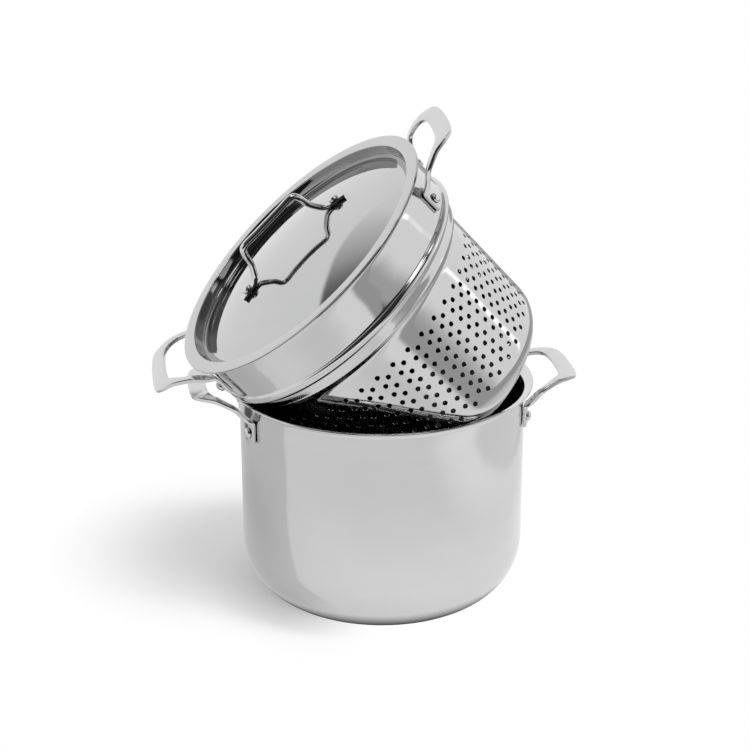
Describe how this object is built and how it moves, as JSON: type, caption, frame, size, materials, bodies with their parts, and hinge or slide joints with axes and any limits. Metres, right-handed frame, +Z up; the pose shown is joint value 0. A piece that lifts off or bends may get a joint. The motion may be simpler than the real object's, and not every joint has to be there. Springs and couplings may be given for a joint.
{
  "type": "steamer pot with insert and lid",
  "caption": "Tall steel pot with two loop handles; a perforated insert with its lid on leans in the pot's mouth, and both lift off.",
  "frame": {"origin": "centre of the pot's flat base, on the surface it stands on", "axes": "+Z up; X along the pot's two loop handles; the insert leans towards -X"},
  "size_m": [0.3583, 0.2652, 0.4201],
  "materials": {
    "pot_steel": "satin polished stainless steel",
    "insert_steel": "polished perforated stainless steel",
    "lid_steel": "polished stainless steel",
    "cast_steel": "polished casting",
    "rod_steel": "polished rod",
    "rivet_steel": "polished"
  },
  "bodies": {
    "pot": {"pot_body": "pot_steel", "pot_handle_left": "cast_steel", "pot_handle_right": "cast_steel", "pot_rivet_right_front": "rivet_steel", "pot_rivet_right_back": "rivet_steel", "pot_rivet_left_front": "rivet_steel", "pot_rivet_left_back": "rivet_steel"},
    "insert": {"insert_body": "insert_steel", "insert_handle_left": "cast_steel", "insert_handle_right": "cast_steel", "insert_rivet_right_front": "rivet_steel", "insert_rivet_right_back": "rivet_steel", "insert_rivet_left_front": "rivet_steel", "insert_rivet_left_back": "rivet_steel"},
    "lid": {"lid_panel": "lid_steel", "lid_handle": "rod_steel", "lid_rivet_a": "rivet_steel", "lid_rivet_b": "rivet_steel"}
  },
  "joints": [
    {"name": "insert_lift", "type": "slide", "parent": "pot", "child": "insert", "axis": [-0.6677, -0.0938, 0.7385], "range_m": [0, 0.2]},
    {"name": "lid_lift", "type": "slide", "parent": "insert", "child": "lid", "axis": [-0.6677, -0.0938, 0.7385], "range_m": [0, 0.1]}
  ]
}
